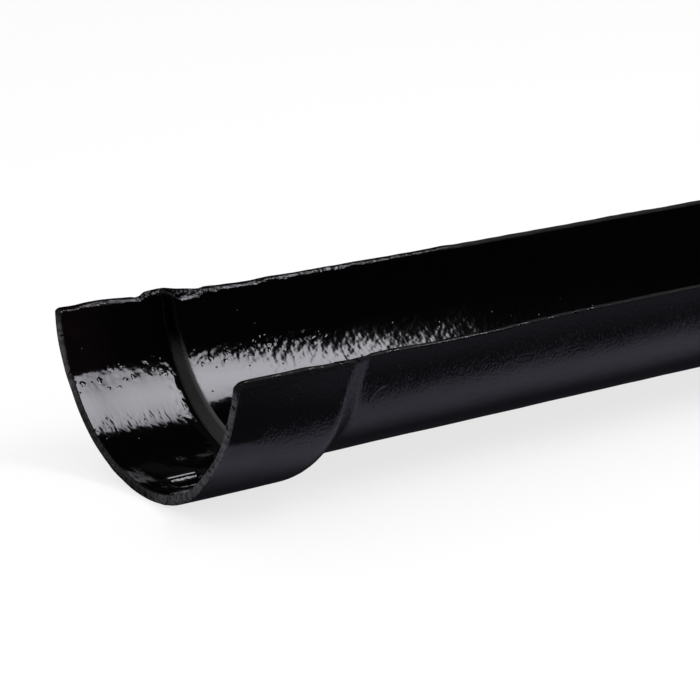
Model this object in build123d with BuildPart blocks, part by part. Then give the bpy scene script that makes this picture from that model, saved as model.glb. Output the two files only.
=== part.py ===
"""Cast iron half round gutter: one six foot length with its joint socket, a single casting.

X runs along the gutter, from the socket's mouth to the plain spigot end. Y runs across it and Z is up.
The origin is midway along the gutter, level with the lowest point of the socket's sole.
All sizes are in millimetres.
"""
from build123d import *
from math import acos, degrees, sin
import os

# Section of the body, a little shallower than half a circle
outside_width = 115.0  # across the outside of the circle that the section follows
wall = 3.8
axis_above_rim = 4.0  # how far the circle's centre lies above the body's rims
edge_round = 1.1  # along the rims and round both ends
corner_round = 3.0  # where a rim meets an end, seen from the side

# Length
laying_length = 1829.0  # six feet, from the socket's seat to the spigot end

# Socket that takes the next length's spigot on a bed of putty
putty_gap = 3.1  # all round the spigot
socket_wall = 3.8
socket_depth = 47.5  # from the mouth to the seat
socket_rim_rise = 1.3  # above the body's rims
seat_root_round = 1.5  # where the seat meets the socket, more than edge_round, which runs past it
seat_lip_round = 1.5  # where the seat meets the channel

# Shoulder outside, where the socket swells out of the body in an ogee
shoulder_lead = 3.5  # the swelling ends this far towards the mouth from the seat
shoulder_crown = 12.0  # radius of its convex part
shoulder_sweep = 9.0  # radius of its concave part

# Bolt slot through the socket's sole, lengthwise
bolt_slot_width = 7.0
bolt_slot_length = 14.0  # from end to end
bolt_slot_from_mouth = 19.5  # to its middle
bolt_slot_round = 1.5  # its edge in the socket

# Radii about the gutter's axis
body_outer = outside_width / 2
body_inner = body_outer - wall
socket_inner = body_outer + putty_gap
socket_outer = socket_inner + socket_wall

# Places along the gutter
overall_length = socket_depth + laying_length
mouth = -overall_length / 2
seat = mouth + socket_depth
spigot_end = mouth + overall_length
shoulder_turn = acos(1 - (socket_outer - body_outer) / (shoulder_crown + shoulder_sweep))
shoulder_start = seat - shoulder_lead
shoulder_end = shoulder_start + (shoulder_crown + shoulder_sweep) * sin(shoulder_turn)

# Heights
axis_height = socket_outer
body_rim = axis_height - axis_above_rim
socket_rim = body_rim + socket_rim_rise

with BuildPart() as gutter:
    # The wall's lengthwise section, turned half way round below the axis
    with BuildSketch(Plane.XY.offset(axis_height)):
        with BuildLine():
            socket_line = Line((mouth, socket_outer), (shoulder_start, socket_outer))
            crown = JernArc(socket_line @ 1, socket_line % 1, shoulder_crown, -degrees(shoulder_turn))
            sweep_out = JernArc(crown @ 1, crown % 1, shoulder_sweep, degrees(shoulder_turn))
            body_line = Line(sweep_out @ 1, (spigot_end, body_outer))
            Line(body_line @ 1, (spigot_end, body_inner))
            channel_line = FilletPolyline(
                (spigot_end, body_inner),
                (seat, body_inner),
                (seat, socket_inner),
                (mouth, socket_inner),
                radius=(seat_lip_round, seat_root_round),
            )
            Line(channel_line @ 1, socket_line @ 0)
        make_face()
    revolve(axis=Axis((0, 0, axis_height), (1, 0, 0)), revolution_arc=-180)

    # The rims: all that stands above them is cut away, and the line steps up over the shoulder
    with BuildSketch(Plane.XZ):
        with BuildLine():
            over_socket = Line((mouth - wall, socket_rim), (shoulder_start, socket_rim))
            middle = (shoulder_start + shoulder_end) / 2
            over_shoulder = Bezier(
                over_socket @ 1, (middle, socket_rim), (middle, body_rim), (shoulder_end, body_rim)
            )
            over_body = Line(over_shoulder @ 1, (spigot_end + wall, body_rim))
            Polyline(
                over_body @ 1,
                (spigot_end + wall, axis_height + wall),
                (mouth - wall, axis_height + wall),
                over_socket @ 0,
            )
        make_face()
    extrude(amount=2 * socket_outer, both=True, mode=Mode.SUBTRACT)

    # The corners where the rims meet the two ends
    across = gutter.edges().filter_by(Axis.Y).group_by(Axis.X)
    fillet(across[0] + across[-1], corner_round)

    # Both ends' edges are rounded, and the rounding runs on along the rims
    ends = gutter.edges().filter_by(GeomType.CIRCLE).group_by(Axis.X)
    fillet(ends[0] + ends[-1], edge_round)

    # The bolt slot through the sole, with its edge in the socket, two sides and two ends, rounded
    with BuildSketch():
        with Locations((mouth + bolt_slot_from_mouth, 0)):
            SlotOverall(bolt_slot_length, bolt_slot_width)
    extrude(amount=axis_height, mode=Mode.SUBTRACT)
    fillet(gutter.edges(Select.LAST).sort_by(Axis.Z)[-4:], bolt_slot_round)

gutter.part.label = "half_round_gutter"

os.makedirs("parts", exist_ok=True)
export_step(gutter.part, "parts/half_round_gutter.step")
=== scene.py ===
from math import acos, asin, atan2, cos, degrees, hypot, pi, radians, sin, sqrt

import bmesh
import bpy
from mathutils import Euler, Matrix, Vector, noise


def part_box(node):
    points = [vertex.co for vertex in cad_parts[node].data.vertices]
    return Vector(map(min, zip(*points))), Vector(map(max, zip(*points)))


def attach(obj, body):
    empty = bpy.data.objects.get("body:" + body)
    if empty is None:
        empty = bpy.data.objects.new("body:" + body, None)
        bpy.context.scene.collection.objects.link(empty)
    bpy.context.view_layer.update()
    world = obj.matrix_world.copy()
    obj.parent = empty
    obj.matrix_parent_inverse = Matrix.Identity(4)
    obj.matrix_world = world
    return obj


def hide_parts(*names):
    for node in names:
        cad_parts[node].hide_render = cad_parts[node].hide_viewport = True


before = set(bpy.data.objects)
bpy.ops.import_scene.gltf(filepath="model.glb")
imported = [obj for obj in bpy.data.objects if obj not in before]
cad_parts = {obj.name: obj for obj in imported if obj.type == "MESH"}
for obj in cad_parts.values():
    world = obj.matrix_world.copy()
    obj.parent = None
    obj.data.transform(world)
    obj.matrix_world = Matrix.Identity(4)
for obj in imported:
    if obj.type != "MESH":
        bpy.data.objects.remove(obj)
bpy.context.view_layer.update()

MM = 0.001

# The casting, round its own lengthwise axis
low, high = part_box("half_round_gutter")
mouth, spigot_end = low.x, high.x
wall = 3.8 * MM
body_radius = 57.5 * MM
socket_radius = 64.4 * MM
axis_height = low.z + socket_radius
axis_above_rim = 4.0 * MM
body_rim = axis_height - axis_above_rim
rim_angle = asin(axis_above_rim / body_radius)
edge_round = 1.1 * MM
far_corner_round = 2.0 * MM
near_corner_round = 3.2 * MM
seat = mouth + 47.5 * MM
seat_slope = radians(82)
seat_root_round = 0.8 * MM
seat_lip_round = 1.2 * MM
seat_lip_end = seat + 1.3 * MM
shoulder_start = seat - 3.5 * MM
shoulder_crown = 12.0 * MM
shoulder_sweep = 9.0 * MM
shoulder_turn = acos(1 - (socket_radius - body_radius) / (shoulder_crown + shoulder_sweep))
shoulder_end = shoulder_start + (shoulder_crown + shoulder_sweep) * sin(shoulder_turn)
ramp_run = 12.0 * MM
bolt_slot_width = 7.0 * MM
bolt_slot_length = 14.0 * MM
bolt_slot_at = mouth + 19.5 * MM
bolt_slot_round = 2.4 * MM

# This casting's two rims are uneven. Their heights above the body's plain rim: (mm from the mouth, mm)
FAR_RIM = [
    (0, 0.3), (8, 0.4), (15, 0.8), (24, 0.5), (33, 0.0), (37, -0.7), (41, 1.1), (49, 1.5),
    (56, 1.8), (63, 1.0), (72, 0.3), (84, 0.0), (101, 0.4), (125, 0.2), (160, 0.0),
]
NEAR_RIM = [
    (0, 1.2), (6, 1.3), (22, 1.2), (32, 1.3), (40, 1.0), (47, 1.1),
    (58, -0.6), (77, -0.6), (97, -1.1), (118, -1.2), (140, -0.4), (163, 0.0),
]

# How far the mouth is sprung from its circle: (degrees round from the far rim, mm outwards)
MOUTH_SPRING = [
    (4, 1.9), (14, 2.2), (24, 1.9), (34, 1.1), (50, 0.9), (64, 0.4),
    (78, 0.0), (116, 0.0), (134, -1.6), (162, -1.7), (172, -1.0), (179, 0.0),
]

# The slow waves of the casting's skin: (size, height) in mm
WAVES = [(42, 0.34), (17, 0.12), (8, 0.045)]

# Colours of the paint and of what shows where it is worn
BLACK_GLOSS = (0.0006, 0.0006, 0.0008, 1)
RUST_TINGE = (0.005, 0.0026, 0.0032, 1)
SEAT_DUST = (0.055, 0.055, 0.057, 1)
BARE_IRON = (0.056, 0.055, 0.060, 1)
WHITE = (1, 1, 1, 1)


class Pen:
    """Draws a line of edges along the wall, straight below the gutter's axis."""

    def __init__(self, bm, along, radius):
        self.bm = bm
        self.verts = [bm.verts.new((along, 0, axis_height - radius))]
        self.heading = Vector((1, 0, 0))

    def straight(self, length, steps):
        for _ in range(steps):
            made = bmesh.ops.extrude_vert_indiv(self.bm, verts=self.verts[-1:])
            bmesh.ops.translate(self.bm, verts=made["verts"], vec=self.heading * length / steps)
            self.verts += made["verts"]

    def arc(self, radius, turn, steps):
        """Turns up towards the axis, or down where the turn is negative."""
        side = Vector((-self.heading.z, 0, self.heading.x)) * (1 if turn > 0 else -1)
        before = set(self.bm.verts)
        centre = self.verts[-1].co + side * radius
        bmesh.ops.spin(
            self.bm, geom=self.verts[-1:], cent=centre, axis=(0, -1, 0), dvec=(0, 0, 0),
            angle=turn, steps=steps,
        )
        self.verts += [v for v in self.bm.verts if v not in before]
        self.heading.rotate(Matrix.Rotation(-turn, 3, "Y"))


def smooth_step(value, start, end):
    t = min(max((value - start) / (end - start), 0.0), 1.0)
    return t * t * (3 - 2 * t)


def hump(value, start, top, fall, end):
    """0 up to the start, 1 from the top to the fall and 0 again from the end on, eased between."""
    return smooth_step(value, start, top) * (1 - smooth_step(value, fall, end))


def keyed(keys, value):
    """The height that a list of (place, height) gives, eased from each to the next."""
    if value <= keys[0][0]:
        return keys[0][1]
    for (a, at_a), (b, at_b) in zip(keys, keys[1:]):
        if value <= b:
            return at_a + (at_b - at_a) * smooth_step(value, a, b)
    return keys[-1][1]


def draw_wall_lines(bm):
    """The outside and the inside of the wall, drawn lengthwise with as many points each.

    The points are closer at the ends, and as far along as the camera sees.
    """
    end_fine, end_steps = 5 * MM, 9
    socket_steps, ogee_steps = 20, 6
    close_end, close_steps = mouth + 375 * MM, 160
    far_steps = 186

    outside = Pen(bm, mouth, socket_radius)
    outside.straight(end_fine, end_steps)
    outside.straight(shoulder_start - mouth - end_fine, socket_steps)
    outside.arc(shoulder_crown, shoulder_turn, ogee_steps)
    outside.arc(shoulder_sweep, -shoulder_turn, ogee_steps)
    outside.straight(close_end - shoulder_end, close_steps)
    outside.straight(spigot_end - close_end - end_fine, far_steps)
    outside.straight(end_fine, end_steps)

    inside = Pen(bm, mouth, socket_radius - wall)
    inside.straight(end_fine, end_steps)
    seat_rounds = seat_root_round + seat_lip_round
    seat_face = (socket_radius - body_radius - seat_rounds * (1 - cos(seat_slope))) / sin(seat_slope)
    seat_start = seat_lip_end - seat_rounds * sin(seat_slope) - seat_face * cos(seat_slope)
    inside.straight(seat_start - mouth - end_fine, socket_steps)
    inside.arc(seat_root_round, seat_slope, ogee_steps)
    inside.straight(seat_face, 1)
    inside.arc(seat_lip_round, -seat_slope, ogee_steps - 1)
    inside.straight(close_end - seat_lip_end, close_steps)
    inside.straight(spigot_end - close_end - end_fine, far_steps)
    inside.straight(end_fine, end_steps)


def turn_wall(bm):
    """Spins the wall's lines from the far rim to the near one, closes the edges and rounds them."""
    steps_round = 98
    axis = Vector((0, 0, axis_height))
    bmesh.ops.rotate(bm, verts=bm.verts[:], cent=axis, matrix=Matrix.Rotation(pi / 2 - rim_angle, 3, "X"))
    bmesh.ops.spin(
        bm, geom=bm.verts[:] + bm.edges[:], cent=axis, axis=(1, 0, 0), dvec=(0, 0, 0),
        angle=2 * rim_angle - pi, steps=steps_round,
    )
    rims_and_ends = [e for e in bm.edges if e.is_boundary]
    bridged = bmesh.ops.bridge_loops(bm, edges=rims_and_ends)
    bmesh.ops.subdivide_edges(bm, edges=bridged["edges"], cuts=2, use_grid_fill=True)
    bmesh.ops.recalc_face_normals(bm, faces=bm.faces[:])
    bmesh.ops.bevel(
        bm, geom=[e for e in rims_and_ends if e.is_valid], offset=edge_round, offset_type="OFFSET",
        segments=4, profile=0.5, affect="EDGES", clamp_overlap=False, material=-1,
    )


def ogee_radius(along):
    """How far the outside lies from the axis there, as the pen drew it."""
    crown_end = shoulder_start + shoulder_crown * sin(shoulder_turn)
    if along <= shoulder_start:
        return socket_radius
    if along <= crown_end:
        return socket_radius - shoulder_crown + sqrt(shoulder_crown**2 - (along - shoulder_start)**2)
    if along <= shoulder_end:
        return body_radius + shoulder_sweep - sqrt(shoulder_sweep**2 - (shoulder_end - along)**2)
    return body_radius


def ramped_shoulder(bm):
    """On the near side the outside swells up an even ramp instead of the ogee."""
    ramp_from_mouth, later_at_rim = 48, 3
    edge_softening = (-1.2, -0.4, 0.4, 1.2)
    for v in bm.verts:
        radius = hypot(v.co.y, v.co.z - axis_height)
        around = degrees(atan2(axis_height - v.co.z, v.co.y))
        ramp_start = mouth + (ramp_from_mouth + later_at_rim * smooth_step(around, 164, 178)) * MM
        places = [(v.co.x + shift * MM - ramp_start) / ramp_run for shift in edge_softening]
        down = sum(min(max(place, 0), 1) for place in places) / len(places)
        ramp_radius = socket_radius + (body_radius - socket_radius) * down
        inner = (socket_radius if v.co.x < seat else body_radius) - wall
        outer = smooth_step(radius, inner + 1.2 * MM, ogee_radius(v.co.x) - 0.6 * MM)
        near = smooth_step(around, 128, 150)
        away = Vector((0, v.co.y, v.co.z - axis_height)).normalized()
        v.co += away * (ramp_radius - ogee_radius(v.co.x)) * outer * near


def far_rim_wear(from_mouth, inwards):
    """How far the far rim is worn down, in mm. inwards is 0 at the wall's outside and 1 at its inside."""
    worn = (1.0 + noise.noise(Vector((from_mouth / 7, 0, 8))) * 1.6) * inwards**2
    worn *= 1 - 0.5 * smooth_step(from_mouth, 66, 90) - 0.5 * smooth_step(from_mouth, 120, 190)
    chip_depth = 3.6
    return worn + (chip_depth * inwards - worn) * hump(from_mouth, 49, 51, 61, 63)


def near_rim_wear(from_mouth, inwards):
    """The same for the near rim, whose inside is lower along the shoulder."""
    step_depth = 2.4
    return 0.7 * inwards**2 + step_depth * hump(from_mouth, 42, 48, 58, 66) * inwards


def uneven_rims(bm):
    """Lifts and lowers the rims, and rounds the four corners where they meet the ends."""
    reach = 16 * MM
    ripple = 0.22
    for v in bm.verts:
        radius = hypot(v.co.y, v.co.z - axis_height)
        drawn_rim = axis_height - radius * sin(rim_angle)
        share = smooth_step(v.co.z, drawn_rim - reach, drawn_rim)
        if share == 0:
            continue
        from_mouth = (v.co.x - mouth) / MM
        height = keyed(FAR_RIM if v.co.y > 0 else NEAR_RIM, from_mouth) * MM
        height += noise.noise(Vector((v.co.x / (7 * MM), v.co.y / (40 * MM), 3))) * ripple * MM
        corner = far_corner_round if v.co.y > 0 else near_corner_round
        into_corner = min(max(mouth + corner - v.co.x, v.co.x - spigot_end + corner, 0), corner)
        height -= corner - sqrt(corner**2 - into_corner**2)
        inner = (socket_radius if v.co.x < seat else body_radius) - wall
        outer = ogee_radius(v.co.x)
        inwards = min(max((outer - radius) / (outer - inner), 0), 1)
        worn = far_rim_wear(from_mouth, inwards) if v.co.y > 0 else near_rim_wear(from_mouth, inwards)
        height -= worn * MM
        v.co.z += (body_rim + height - drawn_rim) * share


def casting_waves(bm):
    """The slow waves of a sand casting's skin, separate inside and outside.

    High on the far side it is lumpy as well, round the seat.
    """
    lump_size, lump_height = 5.5, 0.22
    bm.normal_update()
    moves = []
    for v in bm.verts:
        out = Vector((0, v.co.y, v.co.z - axis_height)).normalized()
        skin = 40 if v.normal.dot(out) > 0 else 0
        spot = v.co / MM + Vector((0, 0, skin))
        wave = sum(noise.noise(spot / size) * height for size, height in WAVES)
        lumpy = hump((v.co.x - mouth) / MM, 34, 44, 78, 90)
        lumpy *= smooth_step(v.co.z, axis_height - 26 * MM, axis_height - 12 * MM) * (v.co.y > 0)
        wave += noise.noise(spot / lump_size) * lump_height * lumpy
        moves.append(v.normal * wave * MM)
    for v, move in zip(bm.verts, moves):
        v.co += move
        v.co.z = max(v.co.z, low.z)


def sprung_mouth(bm):
    """The mouth is no true circle: its far side stands out and its near side is drawn in, and thinner.

    Past it the far wall thins towards its rim, and leans out round the seat.
    """
    spring_reach = 55 * MM
    rim_reach = 16  # degrees round from the far rim
    thinning, lean, rim_taper = 0.7, 0.8, 1.5  # mm
    for v in bm.verts:
        from_axis = Vector((0, v.co.y, v.co.z - axis_height))
        around = degrees(atan2(-from_axis.z, from_axis.y))
        near_mouth = 1 - smooth_step(v.co.x, mouth, mouth + spring_reach)
        spring = keyed(MOUTH_SPRING, around)
        outer = smooth_step(from_axis.length, socket_radius - wall * 0.7, socket_radius - wall * 0.3)
        thinner = thinning * outer * smooth_step(around, 112, 130) * (1 - smooth_step(around, 168, 178))
        leaning = hump(v.co.x, mouth + 20 * MM, mouth + 32 * MM, mouth + 85 * MM, mouth + 110 * MM)
        outer_here = ogee_radius(v.co.x)
        inner = 1 - smooth_step(from_axis.length, outer_here - wall * 0.9, outer_here - wall * 0.2)
        taper = rim_taper * inner * smooth_step(v.co.x, mouth + 6 * MM, mouth + 14 * MM)
        out = (spring - thinner) * near_mouth + max(1 - around / rim_reach, 0) * (lean * leaning + taper)
        v.co += from_axis.normalized() * out * MM
        v.co.z = max(v.co.z, low.z)


def bolt_slot_cutter():
    """A pin that flares out at the socket's sole, made a little square and drawn out lengthwise."""
    above_sole, clearance = 0.12 * MM, 3 * MM
    squareness = 4
    middle_strip = 0.5 * MM

    bm = bmesh.new()
    sole = axis_height - socket_radius + wall + above_sole
    radius = bolt_slot_width / 2
    top = bm.verts.new((radius + bolt_slot_round, 0, sole + clearance))
    lip = bm.verts.new((radius + bolt_slot_round, 0, sole))
    bm.edges.new((top, lip))
    before = set(bm.verts)
    bmesh.ops.spin(
        bm, geom=[lip], cent=(radius + bolt_slot_round, 0, sole - bolt_slot_round), axis=(0, -1, 0),
        dvec=(0, 0, 0), angle=pi / 2, steps=8,
    )
    throat = [v for v in bm.verts if v not in before][-1]
    foot = bm.verts.new((radius, 0, low.z - clearance))
    bm.edges.new((throat, foot))
    bmesh.ops.spin(
        bm, geom=bm.verts[:] + bm.edges[:], cent=(0, 0, 0), axis=(0, 0, 1), dvec=(0, 0, 0),
        angle=2 * pi, steps=48, use_merge=True,
    )
    bmesh.ops.remove_doubles(bm, verts=bm.verts[:], dist=0.01 * MM)
    bmesh.ops.holes_fill(bm, edges=bm.edges[:], sides=0)
    bmesh.ops.recalc_face_normals(bm, faces=bm.faces[:])

    drawn_out = (bolt_slot_length - bolt_slot_width) / 2
    for v in bm.verts:
        from_middle = hypot(v.co.x, v.co.y)
        if from_middle > 0:
            x, y = abs(v.co.x / from_middle), abs(v.co.y / from_middle)
            out = (x**squareness + y**squareness)**(-1 / squareness)
            v.co.x *= out
            v.co.y *= out
        v.co.x += drawn_out * min(max(v.co.x / middle_strip, -1), 1)
    bmesh.ops.translate(bm, verts=bm.verts[:], vec=(bolt_slot_at, 0, 0))
    mesh = bpy.data.meshes.new("bolt_slot_cutter")
    bm.to_mesh(mesh)
    bm.free()
    return bpy.data.objects.new("bolt_slot_cutter", mesh)


def cut(piece, cutter):
    """Takes the cutter's shape out of the piece for good."""
    bpy.context.scene.collection.objects.link(cutter)
    modifier = piece.modifiers.new("cut", "BOOLEAN")
    modifier.operation = "DIFFERENCE"
    modifier.solver = "EXACT"
    modifier.object = cutter
    shown = piece.evaluated_get(bpy.context.evaluated_depsgraph_get())
    mesh = bpy.data.meshes.new_from_object(shown)
    piece.modifiers.clear()
    piece.data = mesh
    bpy.data.objects.remove(cutter)


def make_gutter():
    bm = bmesh.new()
    draw_wall_lines(bm)
    turn_wall(bm)
    ramped_shoulder(bm)
    uneven_rims(bm)
    casting_waves(bm)
    sprung_mouth(bm)
    mesh = bpy.data.meshes.new("gutter_casting")
    bm.to_mesh(mesh)
    bm.free()
    casting = bpy.data.objects.new("gutter_casting", mesh)
    bpy.context.scene.collection.objects.link(casting)
    cut(casting, bolt_slot_cutter())
    for face in casting.data.polygons:
        face.use_smooth = True
    return casting


class Socket:
    """A value, colour or vector in a node tree. Python's operators work it out further."""

    def __init__(self, tree, output):
        self.tree = tree
        self.output = output

    def __add__(self, other):
        return self.tree.math("ADD", self, other)

    def __radd__(self, other):
        return self.tree.math("ADD", other, self)

    def __sub__(self, other):
        return self.tree.math("SUBTRACT", self, other)

    def __rsub__(self, other):
        return self.tree.math("SUBTRACT", other, self)

    def __mul__(self, other):
        return self.tree.math("MULTIPLY", self, other)

    def __rmul__(self, other):
        return self.tree.math("MULTIPLY", other, self)

    def __truediv__(self, other):
        return self.tree.math("DIVIDE", self, other)

    def __lt__(self, other):
        return self.tree.math("LESS_THAN", self, other)


class Tree:
    """The nodes of one material, of the lamp or of the world."""

    def __init__(self, owner):
        owner.use_nodes = True
        self.nodes = owner.node_tree.nodes
        self.links = owner.node_tree.links
        self.nodes.clear()

    def add(self, kind, settings=None, inputs=None, output=0):
        """A node with its settings, then the values or links of its sockets."""
        node = self.nodes.new(kind)
        for name, value in (settings or {}).items():
            setattr(node, name, value)
        for name, value in (inputs or {}).items():
            if isinstance(value, Socket):
                self.links.new(value.output, node.inputs[name])
            else:
                node.inputs[name].default_value = value
        return Socket(self, node.outputs[output]) if node.outputs else node

    def math(self, operation, *values):
        return self.add("ShaderNodeMath", {"operation": operation}, dict(enumerate(values)))

    def ease(self, value, start, end, at_start=0.0, at_end=1.0):
        return self.add(
            "ShaderNodeMapRange", {"interpolation_type": "SMOOTHSTEP"},
            {"Value": value, "From Min": start, "From Max": end, "To Min": at_start, "To Max": at_end},
        )

    def hump(self, value, start, top, fall, end):
        """0 up to the start, 1 from the top to the fall and 0 again from the end on, eased between."""
        return self.ease(value, start, top) * self.ease(value, fall, end, 1, 0)

    def mix_color(self, share, a, b):
        """The Mix node has sockets of one name for each kind of value. These are its colour ones."""
        return self.add("ShaderNodeMix", {"data_type": "RGBA"}, {0: share, 6: a, 7: b}, output=2)

    def part(self, vector, index):
        return self.add("ShaderNodeSeparateXYZ", {}, {"Vector": vector}, output=index)

    def vector(self, x, y, z):
        return self.add("ShaderNodeCombineXYZ", {}, {0: x, 1: y, 2: z})

    def spots(self, place, spacing, share, core, edge):
        """1 in round spots strewn over the place, easing to 0 from their core's radius to their edge's."""
        settings = {"voronoi_dimensions": "2D"}
        inputs = {"Vector": place, "Scale": 1 / spacing}
        distance = self.add("ShaderNodeTexVoronoi", settings, inputs, output="Distance")
        chance = self.part(self.add("ShaderNodeTexVoronoi", settings, inputs, output="Color"), 0)
        return self.ease(distance * spacing, core, edge, 1, 0) * (chance < share)

    def noise(self, place, size, detail=1.0):
        """Noise whose lumps are about the size given, in the units of the place."""
        return self.add("ShaderNodeTexNoise", {}, {"Vector": place, "Scale": 1 / size, "Detail": detail})


class WallPlace:
    """Where a point of the paint lies on the casting, in mm, and how far it is on each of its parts, 0 to 1.

    x runs from the mouth and y across. around is the arc from the bottom on the body's outside circle, more
    than 0 on the far side. below is the depth under the gutter's axis, and radius the distance from it.
    """

    def __init__(self, tree):
        place = tree.add("ShaderNodeTexCoord", output="Object")
        self.x = tree.part(place, 0) * 1000 - mouth / MM
        self.y = tree.part(place, 1) * 1000
        self.below = axis_height / MM - tree.part(place, 2) * 1000
        self.radius = tree.math("SQRT", self.y * self.y + self.below * self.below)
        self.around = tree.math("ARCTAN2", self.y, self.below) * (body_radius / MM)
        self.flat = tree.vector(self.x, self.around, self.radius)

        self.seat = (seat - mouth) / MM
        self.in_socket = tree.ease(self.x, self.seat - 2, self.seat + 2, 1, 0)
        body_middle = (body_radius - wall / 2) / MM
        wall_middle = body_middle + self.in_socket * ((socket_radius - body_radius) / MM)
        self.inside = tree.ease(self.radius - wall_middle, -0.3, 0.3, 1, 0)

        rim_below = axis_above_rim / MM
        self.rim = tree.ease(self.below, rim_below + 0.6, rim_below + 2.2, 1, 0)
        self.end_face = tree.ease(self.x, 0.4, 1.4, 1, 0)
        slot_x = self.x - (bolt_slot_at - mouth) / MM
        from_slot = tree.math("SQRT", slot_x * slot_x * 0.25 + self.y * self.y)
        self.slot_lip = tree.ease(from_slot, 5, 7, 1, 0) * self.inside


def paint_inside(tree, at):
    """Its height in mm: brush marks in the socket, peel along the channel and blisters on the wall."""
    lower_wall = tree.hump(at.around, 28, 34, 41, 46)
    brush_marks = tree.noise(tree.vector(at.x, at.around * 0.5 + at.x * 0.4, at.radius), 2.4) - 0.5
    brushed = brush_marks * (0.015 + lower_wall * 0.14 + tree.ease(at.around, 20, 30, 0.05, 0))
    lumps_by_seat = (tree.noise(at.flat, 3.5) - 0.5) * tree.ease(at.x, 36, 44, 0.0, 0.3)
    thinner_at_mouth = tree.ease(at.x, 0, 20, -0.35, 0.0) * tree.ease(at.around, 38, 60)
    brushed = brushed + lumps_by_seat + thinner_at_mouth

    upper_wall = tree.hump(at.around, 53, 57, 61, 66)
    lower_corner = tree.ease(at.x, 5, 9, 1, 0) * tree.hump(at.around, 34, 36, 39, 41)
    bent = (tree.noise(at.flat, 2.2) - 0.5) * 3
    bent_place = tree.vector(at.x + bent, at.around - bent, at.radius)
    blisters = tree.spots(bent_place, 3.6, 0.45, 0.4, 1.4) * -0.12
    blisters = blisters + (tree.noise(at.flat, 3.2) - 0.5) * 0.1
    blisters = blisters * tree.math("MAXIMUM", upper_wall, lower_corner) * tree.ease(at.x, 90, 130, 1, 0)

    peel = (tree.noise(at.flat, 3.2) - 0.5) * 0.14 * tree.ease(at.x, at.seat, at.seat + 60, 0.4, 0.8)
    return at.in_socket * brushed + (1 - at.in_socket) * peel + blisters


def paint_outside(tree, at):
    """Its height in mm: the grit of the casting's skin, and a run that has set behind the near shoulder."""
    grit = (tree.noise(tree.vector(at.x * 1.6, at.around * 0.8, at.radius), 1.0) - 0.5) * 0.22
    grit = grit + (tree.noise(at.flat, 5.0) - 0.5) * 0.1

    curve_x, curve_around, curve_radius = 72.5, -64.9, 6.0
    from_x = at.x - curve_x
    from_around = at.around - curve_around
    from_centre = tree.math("SQRT", from_x * from_x + from_around * from_around)
    off_run = tree.math("ABSOLUTE", from_centre - curve_radius)
    run = tree.ease(off_run, 0.2, 1.0, 0.35, 0) * tree.ease(at.x, 70, 73, 1, 0) * (at.around < -64.3)
    return grit + run


def dents_and_marks(tree, at):
    """Their height in mm: dents in the rims and the slot's lip, and marks across the end face."""
    dents = (tree.noise(at.flat, 1.2) - 0.5) * 0.4
    marks = (tree.noise(tree.vector(0, at.around, 0), 1.2) - 0.5) * tree.ease(at.below, 40, 58, 0.12, 0.5)
    return tree.math("MAXIMUM", at.rim, at.slot_lip * 0.4) * dents + at.end_face * marks


def dust_on_seat(tree, at):
    """How thick dust lies on the seat's face, more of it lower down."""
    body_inside = (body_radius - wall) / MM
    socket_inside = (socket_radius - wall) / MM
    face = tree.hump(at.x, at.seat - 1.4, at.seat - 0.9, at.seat + 1.2, at.seat + 1.9)
    face = face * tree.hump(
        at.radius, body_inside - 0.7, body_inside - 0.3, socket_inside - 0.8, socket_inside - 0.2
    )
    lower_down = tree.ease(at.below, 18, 32, 0.0, 0.65) + tree.ease(at.below, 40, 56, 0.0, 0.35)
    return face * at.inside * lower_down


def thin_paint_on_rims(tree, at):
    """How far the paint has run off the rims: here and there on the near one, and on both further along."""
    here_and_there = tree.ease(tree.noise(tree.vector(at.x, 0, 0), 7.0), 0.38, 0.5)
    near = tree.ease(at.y, -20, 0, 1, 0) * here_and_there
    return at.rim * tree.math("MAXIMUM", near, tree.ease(at.x, 170, 200))


def rubbed_end(tree, at):
    """How dull the end face is rubbed, in patches, more of it lower down."""
    patches = tree.ease(tree.noise(tree.vector(at.x, at.around, 0), 1.4), 0.45, 0.53)
    return at.end_face * patches * tree.ease(at.below, 20, 50)


def bare_iron(tree, at):
    """How far iron shows: on the end face's near side, high on its far side, and on the slot's near lip."""
    sides = tree.ease(at.y, -12, 4, 1.0, 0.25) + tree.ease(at.y, 46, 58, 0.0, 0.8)
    bare_end = at.end_face * sides * tree.ease(at.below, 4, 12)
    bare_end = bare_end * tree.ease(tree.noise(tree.vector(0, at.around, 0), 1.9), 0.38, 0.56, 0.5, 1.0)
    bare_end = bare_end * tree.ease(tree.noise(tree.vector(0, at.y, at.below), 2.2), 0.34, 0.42)
    near_lip = at.slot_lip * tree.ease(at.y, -1.0, 1.0, 0.8, 0)
    worn_lip = near_lip * tree.ease(tree.noise(at.flat, 2.5), 0.5, 0.6)
    return tree.math("MAXIMUM", bare_end, worn_lip)


def rust_tinge(tree, at):
    """How far rust tinges the paint, high on the far side by the mouth."""
    high_up = tree.ease(at.y, 30, 52) * tree.ease(at.below, 44, 24)
    return tree.noise(at.flat, 4.0, detail=2.0) * tree.ease(at.x, 8, 30, 1, 0) * high_up


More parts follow.
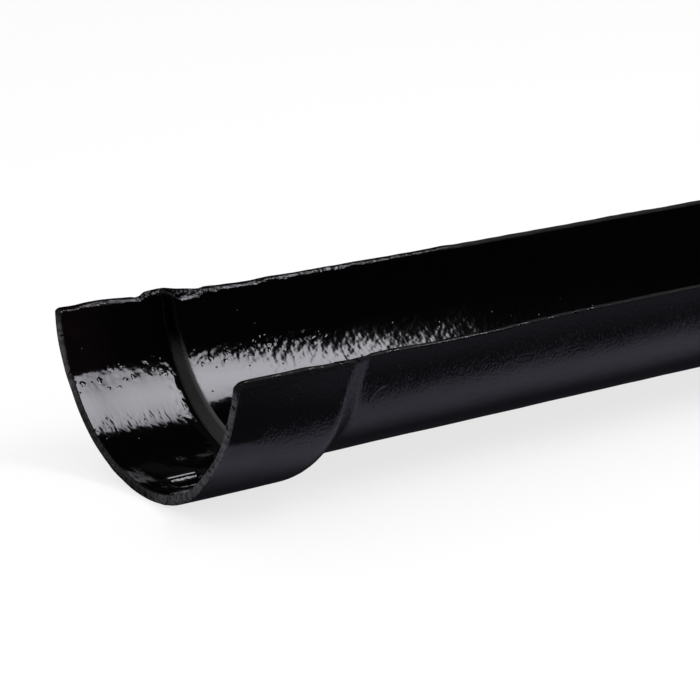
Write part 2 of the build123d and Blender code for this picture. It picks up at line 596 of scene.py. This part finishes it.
def black_gloss_paint():
    """Black gloss brushed over a sand casting, dull where dust lies on it or it is worn."""
    gloss, dullest = 0.08, 0.50
    material = bpy.data.materials.new("black_gloss_paint")
    tree = Tree(material)
    at = WallPlace(tree)

    nibs = tree.spots(at.flat, 7.5, 0.3, 0.1, 0.55) * tree.ease(at.x, 100, 180, 0.08, 0.03)
    height = at.inside * paint_inside(tree, at) + (1 - at.inside) * paint_outside(tree, at)
    height = height + nibs + dents_and_marks(tree, at)
    bump = tree.add("ShaderNodeBump", {}, {"Strength": 1.0, "Distance": MM, "Height": height})

    dusty = dust_on_seat(tree, at)
    worn = tree.math("MAXIMUM", thin_paint_on_rims(tree, at) * 1.4, rubbed_end(tree, at))
    dull = tree.math("MAXIMUM", dusty, worn)
    color = tree.mix_color(rust_tinge(tree, at), BLACK_GLOSS, RUST_TINGE)
    color = tree.mix_color(dusty, color, SEAT_DUST)
    color = tree.mix_color(bare_iron(tree, at), color, BARE_IRON)
    roughness = gloss + dull * (dullest - gloss)
    shader = tree.add(
        "ShaderNodeBsdfPrincipled", {},
        {"Base Color": color, "Roughness": roughness, "IOR": 1.5, "Normal": bump},
    )
    tree.add("ShaderNodeOutputMaterial", {}, {"Surface": shader})
    return material


def camera_at_the_mouth():
    """Looks down along the gutter from in front of its socket."""
    yaw, pitch = radians(53.88), radians(-16.15)
    data = bpy.data.cameras.new("camera")
    data.sensor_width = 36
    data.lens = 133.1
    camera = bpy.data.objects.new("camera", data)
    camera.location = (-1.42145, -0.7928, 0.3268)
    camera.rotation_euler = Euler((pi / 2 + pitch, 0, yaw - pi / 2))
    bpy.context.scene.collection.objects.link(camera)
    bpy.context.scene.camera = camera


def softbox():
    """One long soft lamp over the channel, brighter in its middle and soft at its edges."""
    length, width = 1.14, 0.64
    radiance = 9.2
    data = bpy.data.lights.new("softbox", "AREA")
    data.shape = "RECTANGLE"
    data.size, data.size_y = length, width
    data.color = (0.93, 0.93, 1.0)
    data.energy = radiance * pi * length * width

    tree = Tree(data)
    spot = tree.add("ShaderNodeNewGeometry", output="Parametric")
    across = (tree.part(spot, 0) - 0.5) * length
    up = (tree.part(spot, 1) - 0.5) * width
    far_across = across / 0.35
    far_up = up / 0.25
    middle = 1 - 0.2 * (far_across * far_across + far_up * far_up)
    ends = tree.ease(tree.math("ABSOLUTE", across), 0.49, 0.55, 1, 0)
    edges = ends * tree.hump(up, -0.20, -0.12, 0.26, 0.30)
    shader = tree.add("ShaderNodeEmission", {}, {"Color": WHITE, "Strength": middle * edges})
    tree.add("ShaderNodeOutputLight", {}, {"Surface": shader})

    elevation, heading, roll = radians(48.4), radians(-18.1), radians(16.7)
    place = Vector((0.019, -0.302, 1.299))
    shift_in_its_plane = Vector((-0.27, -0.03, 0))
    back = Vector((1, 0, 0))
    back.rotate(Euler((0, -elevation, heading)))
    facing = back.to_track_quat("Z", "Y").to_matrix()
    lamp = bpy.data.objects.new("softbox", data)
    lamp.rotation_euler = (facing @ Matrix.Rotation(roll, 3, "Z")).to_euler()
    lamp.location = place + facing @ shift_in_its_plane
    bpy.context.scene.collection.objects.link(lamp)


def shown_rays(tree):
    """1 for the rays that show the white background: the camera's, mirrored ones and those through glass."""
    names = ("Is Camera Ray", "Is Glossy Ray", "Is Transmission Ray")
    camera, mirrored, through = (tree.add("ShaderNodeLightPath", output=name) for name in names)
    return tree.math("MAXIMUM", camera + mirrored, through)


def studio_world():
    """White background, and a plain fill light."""
    fill = 0.8
    world = bpy.data.worlds.new("studio")
    tree = Tree(world)
    shown = shown_rays(tree)
    strength = shown + (1 - shown) * fill
    shader = tree.add("ShaderNodeBackground", {}, {"Color": WHITE, "Strength": strength})
    tree.add("ShaderNodeOutputWorld", {}, {"Surface": shader})
    bpy.context.scene.world = world


def stage_piece(name, bm, material):
    mesh = bpy.data.meshes.new(name)
    bm.to_mesh(mesh)
    bm.free()
    mesh.materials.append(material)
    piece = bpy.data.objects.new(name, mesh)
    bpy.context.scene.collection.objects.link(piece)
    return piece


def studio_floor():
    """Plain pale floor, white apart from the gutter's own shadow."""
    reach = 30
    white_share = 0.75
    bm = bmesh.new()
    bmesh.ops.create_grid(bm, x_segments=1, y_segments=1, size=reach)
    bmesh.ops.translate(bm, verts=bm.verts[:], vec=(0, 0, low.z))
    material = bpy.data.materials.new("floor")
    tree = Tree(material)
    matte = tree.add("ShaderNodeBsdfDiffuse", {}, {"Color": WHITE})
    white = tree.add("ShaderNodeEmission", {}, {"Color": WHITE, "Strength": 1.0})
    shader = tree.add("ShaderNodeMixShader", {}, {0: shown_rays(tree) * white_share, 1: matte, 2: white})
    tree.add("ShaderNodeOutputMaterial", {}, {"Surface": shader})
    stage_piece("floor", bm, material)


def studio_card(name, bm, material, tree, color, tone):
    """A card that only the gutter's paint mirrors. It takes no light and the camera doesn't see it."""
    shader = tree.add("ShaderNodeEmission", {}, {"Color": color, "Strength": tone})
    tree.add("ShaderNodeOutputMaterial", {}, {"Surface": shader})
    material.cycles.emission_sampling = "NONE"
    card = stage_piece(name, bm, material)
    card.visible_camera = card.visible_diffuse = card.visible_transmission = card.visible_shadow = False


def painted_dark_reflection():
    """A dark dome round the gutter that only its paint mirrors: a painted reflection of a dark studio.

    It is lighter high up beyond the mouth, a painted glow which shows the gutter's form from the other
    sides.
    """
    # Painted reflection: black is the dark studio all round, and lighter is a painted glow high up beyond
    # the mouth.
    black, lighter = 0.008, 0.5
    bm = bmesh.new()
    bmesh.ops.create_icosphere(bm, subdivisions=4, radius=4)
    material = bpy.data.materials.new("black_card")
    tree = Tree(material)
    place = tree.add("ShaderNodeTexCoord", output="Object")
    beyond_mouth = tree.ease(tree.part(place, 0), -0.5, -3.5) * tree.ease(tree.part(place, 2), 0.8, 2.5)
    studio_card("painted_dark_reflection", bm, material, tree, WHITE, black + beyond_mouth * lighter)


def painted_floor_reflection():
    """A card over the floor that only the paint mirrors, a painted reflection of the floor: painted shadow
    near black under the gutter, and lighter along its two sides.
    """
    # Painted reflection of the floor: under is the gutter's own shadow painted near black, beside is the lit
    # floor, and further and before are dimmer tones further off and in front of the mouth.
    under, beside, further, before = 0.02, 0.33, 0.13, 0.1
    bm = bmesh.new()
    bmesh.ops.create_grid(bm, x_segments=1, y_segments=1, size=2.7)
    bmesh.ops.translate(bm, verts=bm.verts[:], vec=(0, 0, low.z + 0.2 * MM))
    material = bpy.data.materials.new("painted_floor_reflection")
    tree = Tree(material)
    place = tree.add("ShaderNodeTexCoord", output="Object")
    x = tree.part(place, 0)
    aside = tree.math("ABSOLUTE", tree.part(place, 1))
    body = tree.ease(x, mouth + 0.04, mouth + 0.08)
    strip = tree.ease(aside, 0.026, 0.052, under, beside)
    strip = strip * tree.ease(aside - body * 0.005, 0.061, 0.066, 1.0, 0.15)
    alongside = strip + tree.ease(aside, 0.08, 0.15, 0.0, further) * (0.5 + body * 0.5)
    before_mouth = tree.ease(x, mouth - 0.06, mouth - 0.02, 1.0, 0.0)
    tone = alongside + (before - alongside) * before_mouth
    studio_card("painted_floor_reflection", bm, material, tree, (0.92, 0.88, 1.12, 1), tone)


camera_at_the_mouth()
softbox()
studio_world()
studio_floor()
painted_dark_reflection()
painted_floor_reflection()

gutter = make_gutter()
gutter.data.materials.clear()
gutter.data.materials.append(black_gloss_paint())
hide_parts("half_round_gutter")
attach(gutter, "root")

bpy.context.scene.view_settings.view_transform = "Standard"
